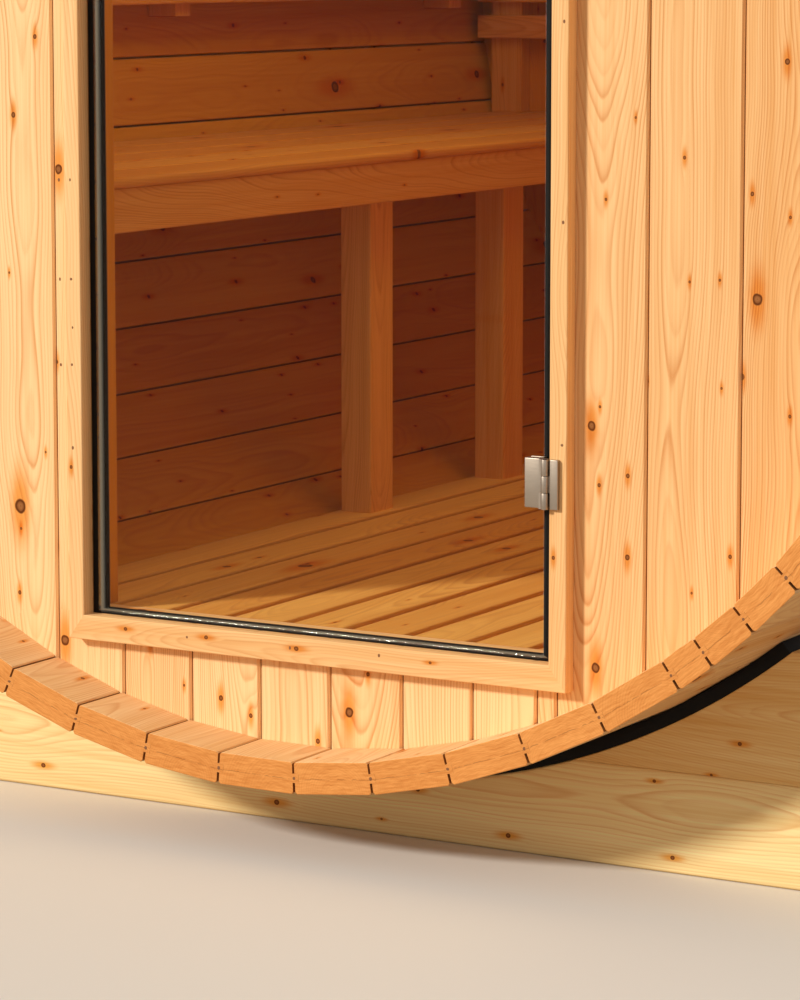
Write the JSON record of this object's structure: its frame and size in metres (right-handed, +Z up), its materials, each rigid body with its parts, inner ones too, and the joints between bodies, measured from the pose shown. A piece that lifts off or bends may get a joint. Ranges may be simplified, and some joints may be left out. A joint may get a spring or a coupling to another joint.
{
  "type": "barrel sauna",
  "caption": "Round timber cabin of grooved staves on cradles, with recessed end walls, an outward opening glass door, a slatted floor and a bench.",
  "frame": {"origin": "on the ground, under the middle of the barrel", "axes": "+Z up; +Y along the barrel, from the door end to the back end; +X to the right of someone who faces the door"},
  "size_m": [2.3, 2.5, 2.1435],
  "materials": {
    "stave": "planed, untreated softwood",
    "wall_board": "planed, untreated softwood",
    "trim_board": "planed, untreated softwood",
    "room_board": "planed, untreated softwood",
    "cradle_board": "planed, untreated softwood",
    "door_glass": "clear",
    "hinge_steel": "satin",
    "band_steel": "satin",
    "seal_rubber": "matt",
    "pad_rubber": "matt"
  },
  "bodies": {
    "barrel": {"stave_segment_1": "stave", "stave_segment_2": "stave", "stave_segment_3": "stave", "stave_segment_4": "stave", "stave_segment_5": "stave", "stave_segment_6": "stave", "stave_segment_7": "stave", "stave_segment_8": "stave", "front_wall_left": "wall_board", "front_wall_right": "wall_board", "front_wall_below_door": "wall_board", "front_wall_above_door": "wall_board", "back_wall": "wall_board", "door_casing_bottom": "trim_board", "door_casing_right": "trim_board", "door_casing_top": "trim_board", "door_casing_left": "trim_board", "door_lining": "trim_board", "door_sill": "trim_board", "door_seal": "seal_rubber", "lower_hinge_frame_leaf": "hinge_steel", "upper_hinge_frame_leaf": "hinge_steel", "floor_slats": "room_board", "floor_joists": "room_board", "bench_seat_slats": "room_board", "bench_fascia": "room_board", "bench_bearers": "room_board", "bench_posts": "room_board", "backrest_slats": "room_board", "backrest_brackets": "room_board", "end_backrest_slats": "room_board", "end_backrest_battens": "room_board", "front_cradle_lower_board": "cradle_board", "front_cradle_upper_board": "cradle_board", "rear_cradle_lower_board": "cradle_board", "rear_cradle_upper_board": "cradle_board", "cradle_pads": "pad_rubber", "steel_bands": "band_steel"},
    "door": {"door_glass": "door_glass", "door_handle": "trim_board", "handle_bolts": "hinge_steel", "lower_hinge_glass_leaf": "hinge_steel", "upper_hinge_glass_leaf": "hinge_steel"}
  },
  "joints": [
    {"name": "door_hinge", "type": "hinge", "parent": "barrel", "child": "door", "pos_m": [0.3755, -1.18, 1.117], "axis": [0, 0, 1], "range_deg": [0, 120]}
  ]
}
